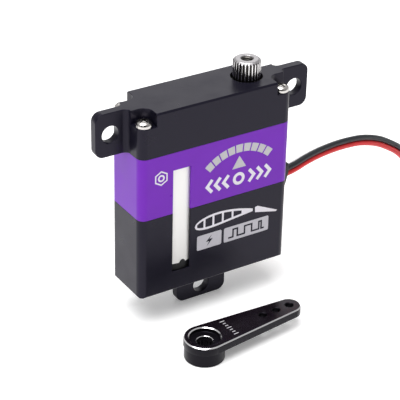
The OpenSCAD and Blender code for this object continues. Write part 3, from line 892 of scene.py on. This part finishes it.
def coil_tie():
    """A thin band round the coil's turns."""
    angle = math.radians(-62)
    across = Vector((math.cos(angle), math.sin(angle)))
    beside = Vector((-math.sin(angle), math.cos(angle)))
    outer, inner = (12.5, 16.9, 0.0, 2.05), (12.56, 16.84, 0.05, 1.99)
    rings = []
    for along in (-0.9, 0.9):
        for low, high, base, top in (outer, inner):
            ring = []
            for radial, z in ((low, base), (high, base), (high, top), (low, top)):
                p = Vector((COIL_X, COIL_Y)) + across * radial + beside * along
                ring.append((p.x, p.y, z))
            rings.append(ring)
    outer_a, inner_a, outer_b, inner_b = rings
    bm = bmesh.new()
    loops = (outer_a, outer_b, inner_b, inner_a)
    made = [[bm.verts.new(Vector(p) * MM) for p in loop] for loop in loops]
    for one, other in zip(made, made[1:] + made[:1]):
        for k in range(4):
            bm.faces.new((one[k], one[(k + 1) % 4], other[(k + 1) % 4], other[k]))
    bmesh.ops.recalc_face_normals(bm, faces=bm.faces)
    return from_bmesh("coil_tie", bm, [moulded_black], "case")


coil_tie()

# Each wire's place in the bundle, across it and out of it, and its place across the plug
WIRES = (
    ("lead_black", "black_wire", black_pvc, "black_insulation", (0.54, -0.31, PLUG_PITCH)),
    ("lead_red", "red_wire", red_pvc, "red_insulation", (-0.54, -0.31, 0.0)),
    ("lead_white", "white_wire", white_pvc, "white_insulation", (0.0, 0.62, -PLUG_PITCH)),
)
for wire_name, wire_node, wire_material, wire_slot, wire_places in WIRES:
    cord, line = wire(wire_name, wire_node, wire_material, wire_places)
    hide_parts("lead_coil")


# ---------- Bearing balls ----------


def bearing_balls():
    """The CAD balls, without the folded faces at their poles."""
    # The top balls, seen round the output shaft, get painted shade; the lower ones their own steel
    for end, finish in (("top", painted_shade_metal), ("lower", bearing_steel)):
        node = f"{end}_bearing_balls"
        balls = from_bmesh(f"{end}_balls", node_bmesh(node), [finish], "case")
        shade(balls)
        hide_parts(node)


bearing_balls()


# ---------- CAD nodes that stay ----------

FINISHES = {
    "motor_can": motor_plate, "motor_end_cap": moulded_black, "motor_magnet": ferrite,
    "motor_shaft": gear_steel, "motor_pinion": gear_brass, "motor_screws": nickel,
    "first_gear": gear_brass, "second_gear": gear_steel, "third_gear": gear_steel,
    "gear_pins": bearing_steel, "output_gear": gear_steel,
    # The top bearing, seen round the output shaft, gets painted shade; the lower one its own steel
    "top_bearing_outer": painted_shade_metal, "top_bearing_inner": painted_shade_metal,
    "lower_bearing_outer": bearing_steel, "lower_bearing_inner": bearing_steel,
    "potentiometer_body": moulded_black, "potentiometer_wiper": contact_brass,
    "circuit_board": board_green, "controller_chip": chip_epoxy, "driver_chips": chip_epoxy,
    "capacitor": ceramic_tan, "inner_wires": red_pvc, "plug_contacts": contact_brass,
}
for node_name, finish in FINISHES.items():
    for material_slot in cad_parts[node_name].material_slots:
        material_slot.material = finish


# ---------- Floor and light ----------


def studio_floor():
    bm = bmesh.new()
    bmesh.ops.create_grid(bm, x_segments=1, y_segments=1, size=3.0)
    bmesh.ops.translate(bm, verts=bm.verts, vec=(0, 0, -0.00002))
    white = surface("floor_white", (0.93, 0.93, 0.93), 0.6, vary=0.0, bump=0.0)
    shader = white.node_tree.nodes["Principled BSDF"]
    shader.inputs["Emission Color"].default_value = (1, 1, 1, 1)
    shader.inputs["Emission Strength"].default_value = 0.24
    floor = from_bmesh("floor", bm, [white], None)


def studio_world():
    """A white room, brighter up and behind the servo. A dark patch towards where the photograph was taken
    from takes a little light off the print and the motor's plate. It is fixed in the room and doesn't
    follow the camera."""
    world = bpy.data.worlds.new("studio")
    world.use_nodes = True
    tree = world.node_tree
    background = tree.nodes["Background"]
    background.inputs["Color"].default_value = (1.0, 1.0, 1.0, 1)
    coords = tree.nodes.new("ShaderNodeTexCoord")

    def ramp(direction, start, end, low, high, interpolation):
        """A value that goes from low to high as the room's direction turns towards the given one."""
        turned = tree.nodes.new("ShaderNodeVectorMath")
        turned.operation = "DOT_PRODUCT"
        turned.inputs[1].default_value = direction
        value = tree.nodes.new("ShaderNodeMapRange")
        value.interpolation_type = interpolation
        value.inputs["From Min"].default_value = start
        value.inputs["From Max"].default_value = end
        value.inputs["To Min"].default_value = low
        value.inputs["To Max"].default_value = high
        tree.links.new(coords.outputs["Generated"], turned.inputs[0])
        tree.links.new(turned.outputs["Value"], value.inputs["Value"])
        return value.outputs["Result"]

    glow = ramp((0.30, 0.62, 0.72), -0.7, 0.9, 0.18, 0.60, "LINEAR")
    unlit = ramp((-0.47, -0.73, 0.50), 0.72, 0.95, 1.0, 0.05, "SMOOTHSTEP")
    shaded = tree.nodes.new("ShaderNodeMath")
    shaded.operation = "MULTIPLY"
    tree.links.new(glow, shaded.inputs[0])
    tree.links.new(unlit, shaded.inputs[1])
    tree.links.new(shaded.outputs["Value"], background.inputs["Strength"])
    scene.world = world


def softbox(name, place, size, power, target):
    """A rectangular light at place that faces target."""
    data = bpy.data.lights.new(name, "AREA")
    data.shape = "RECTANGLE"
    data.size, data.size_y = size
    data.energy = power
    lamp = bpy.data.objects.new(name, data)
    lamp.location = place
    lamp.rotation_mode = "QUATERNION"
    lamp.rotation_quaternion = (Vector(place) - Vector(target)).to_track_quat("Z", "Y")
    scene.collection.objects.link(lamp)


studio_floor()
studio_world()
softbox("overhead", (-0.16, -0.08, 0.60), (0.55, 0.55), 5.1, (0, 0, 0.02))
softbox("back", (0.38, 0.58, 0.42), (0.55, 0.40), 0.62, (0.009, 0, 0.041))
scene.view_settings.view_transform = "Standard"
